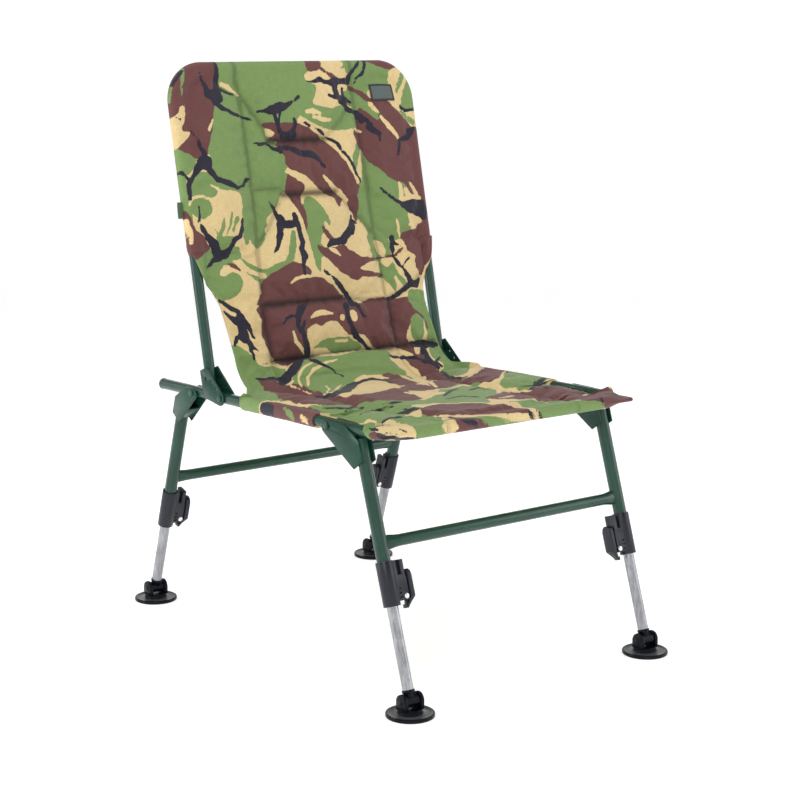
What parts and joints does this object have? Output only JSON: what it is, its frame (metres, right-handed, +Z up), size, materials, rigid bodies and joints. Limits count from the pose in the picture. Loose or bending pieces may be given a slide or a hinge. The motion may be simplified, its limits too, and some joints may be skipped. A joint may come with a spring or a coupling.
{
  "type": "folding fishing chair",
  "caption": "Bankside folding chair with a padded camouflage sling on tubular frames, telescopic legs with cam locks and swivel mud feet",
  "frame": {"origin": "on the floor, midway between the feet in X and Y", "axes": "+Z up, the sitter faces -Y; left in a node name is the -X side and right is the +X side"},
  "size_m": [0.577, 0.849, 0.9789],
  "materials": {
    "green_paint": "dark green gloss powder coat on steel tube and pressed plate",
    "aluminium": "satin anodised tube",
    "dark_plastic": "dark grey moulded plastic, satin",
    "black_rubber": "black and grey moulded foot, matt",
    "bright_steel": "plated rivet and bolt, bright",
    "camouflage": "printed woven polyester over padding, green, sand, brown and near-black camouflage",
    "grey_weave": "woven tape, dark grey, plain"
  },
  "bodies": {
    "seat_frame": {"seat_frame_tube": "green_paint", "seat_pad": "camouflage", "rail_cap_left": "dark_plastic", "rail_cap_right": "dark_plastic", "rear_leg_left_bolt": "bright_steel", "rear_leg_right_bolt": "bright_steel", "backrest_left_bolt": "bright_steel", "backrest_right_bolt": "bright_steel", "front_leg_left_bolt": "bright_steel", "front_leg_right_bolt": "bright_steel", "sling_bridge": "camouflage"},
    "backrest": {"backrest_tube": "green_paint", "back_pad": "camouflage", "back_badge": "grey_weave", "edge_tab": "grey_weave", "backrest_left_bracket": "green_paint", "backrest_right_bracket": "green_paint", "backrest_left_rivet": "green_paint", "backrest_right_rivet": "green_paint"},
    "front_legs": {"front_crossbar": "green_paint", "front_left_outer_leg": "green_paint", "front_right_outer_leg": "green_paint", "front_left_bracket": "green_paint", "front_right_bracket": "green_paint", "front_left_lock": "dark_plastic", "front_right_lock": "dark_plastic", "front_left_lever_rivet": "bright_steel", "front_right_lever_rivet": "bright_steel"},
    "rear_legs": {"rear_crossbar": "green_paint", "rear_left_outer_leg": "green_paint", "rear_right_outer_leg": "green_paint", "rear_left_bracket": "green_paint", "rear_right_bracket": "green_paint", "rear_left_lock": "dark_plastic", "rear_right_lock": "dark_plastic", "rear_left_lever_rivet": "bright_steel", "rear_right_lever_rivet": "bright_steel"},
    "front_left_leg": {"front_left_inner_leg": "aluminium", "front_left_knuckle": "black_rubber"},
    "front_right_leg": {"front_right_inner_leg": "aluminium", "front_right_knuckle": "black_rubber"},
    "rear_left_leg": {"rear_left_inner_leg": "aluminium", "rear_left_knuckle": "black_rubber"},
    "rear_right_leg": {"rear_right_inner_leg": "aluminium", "rear_right_knuckle": "black_rubber"},
    "front_left_clamp": {"front_left_lever": "dark_plastic"},
    "front_right_clamp": {"front_right_lever": "dark_plastic"},
    "rear_left_clamp": {"rear_left_lever": "dark_plastic"},
    "rear_right_clamp": {"rear_right_lever": "dark_plastic"},
    "front_left_shoe": {"front_left_foot": "black_rubber", "front_left_foot_pin": "bright_steel"},
    "front_right_shoe": {"front_right_foot": "black_rubber", "front_right_foot_pin": "bright_steel"},
    "rear_left_shoe": {"rear_left_foot": "black_rubber", "rear_left_foot_pin": "bright_steel"},
    "rear_right_shoe": {"rear_right_foot": "black_rubber", "rear_right_foot_pin": "bright_steel"}
  },
  "joints": [
    {"name": "backrest_fold", "type": "hinge", "parent": "seat_frame", "child": "backrest", "pos_m": [0, 0.13089, 0.4168], "axis": [1, 0, 0], "range_deg": [0, 98], "deforming": ["sling_bridge"]},
    {"name": "front_leg_fold", "type": "hinge", "parent": "seat_frame", "child": "front_legs", "pos_m": [0, -0.18713, 0.42396], "axis": [1, 0, 0], "range_deg": [0, 98]},
    {"name": "rear_leg_fold", "type": "hinge", "parent": "seat_frame", "child": "rear_legs", "pos_m": [0, 0.22087, 0.41478], "axis": [1, 0, 0], "range_deg": [-100, 0]},
    {"name": "front_left_extend", "type": "slide", "parent": "front_legs", "child": "front_left_leg", "axis": [0, 0.31, 0.9507], "range_m": [-0.01, 0.105]},
    {"name": "front_right_extend", "type": "slide", "parent": "front_legs", "child": "front_right_leg", "axis": [0, 0.31, 0.9507], "range_m": [-0.01, 0.105]},
    {"name": "rear_left_extend", "type": "slide", "parent": "rear_legs", "child": "rear_left_leg", "axis": [0, -0.3057, 0.9521], "range_m": [-0.01, 0.105]},
    {"name": "rear_right_extend", "type": "slide", "parent": "rear_legs", "child": "rear_right_leg", "axis": [0, -0.3057, 0.9521], "range_m": [-0.01, 0.105]},
    {"name": "front_left_lever_turn", "type": "hinge", "parent": "front_legs", "child": "front_left_clamp", "pos_m": [-0.226, -0.33695, 0.1745], "axis": [0, 0.9507, -0.31], "range_deg": [0, 40]},
    {"name": "front_right_lever_turn", "type": "hinge", "parent": "front_legs", "child": "front_right_clamp", "pos_m": [0.226, -0.33695, 0.1745], "axis": [0, -0.9507, 0.31], "range_deg": [0, 40]},
    {"name": "rear_left_lever_turn", "type": "hinge", "parent": "rear_legs", "child": "rear_left_clamp", "pos_m": [-0.226, 0.34156, 0.16251], "axis": [0, 0.9521, 0.3057], "range_deg": [0, 40]},
    {"name": "rear_right_lever_turn", "type": "hinge", "parent": "rear_legs", "child": "rear_right_clamp", "pos_m": [0.226, 0.34156, 0.16251], "axis": [0, -0.9521, -0.3057], "range_deg": [0, 40]},
    {"name": "front_left_foot_tilt", "type": "hinge", "parent": "front_left_leg", "child": "front_left_shoe", "pos_m": [-0.25, -0.38603, 0.024], "axis": [1, 0, 0], "range_deg": [-25, 25]},
    {"name": "front_right_foot_tilt", "type": "hinge", "parent": "front_right_leg", "child": "front_right_shoe", "pos_m": [0.25, -0.38603, 0.024], "axis": [1, 0, 0], "range_deg": [-25, 25]},
    {"name": "rear_left_foot_tilt", "type": "hinge", "parent": "rear_left_leg", "child": "rear_left_shoe", "pos_m": [-0.25, 0.38604, 0.024], "axis": [1, 0, 0], "range_deg": [-25, 25]},
    {"name": "rear_right_foot_tilt", "type": "hinge", "parent": "rear_right_leg", "child": "rear_right_shoe", "pos_m": [0.25, 0.38604, 0.024], "axis": [1, 0, 0], "range_deg": [-25, 25]}
  ]
}
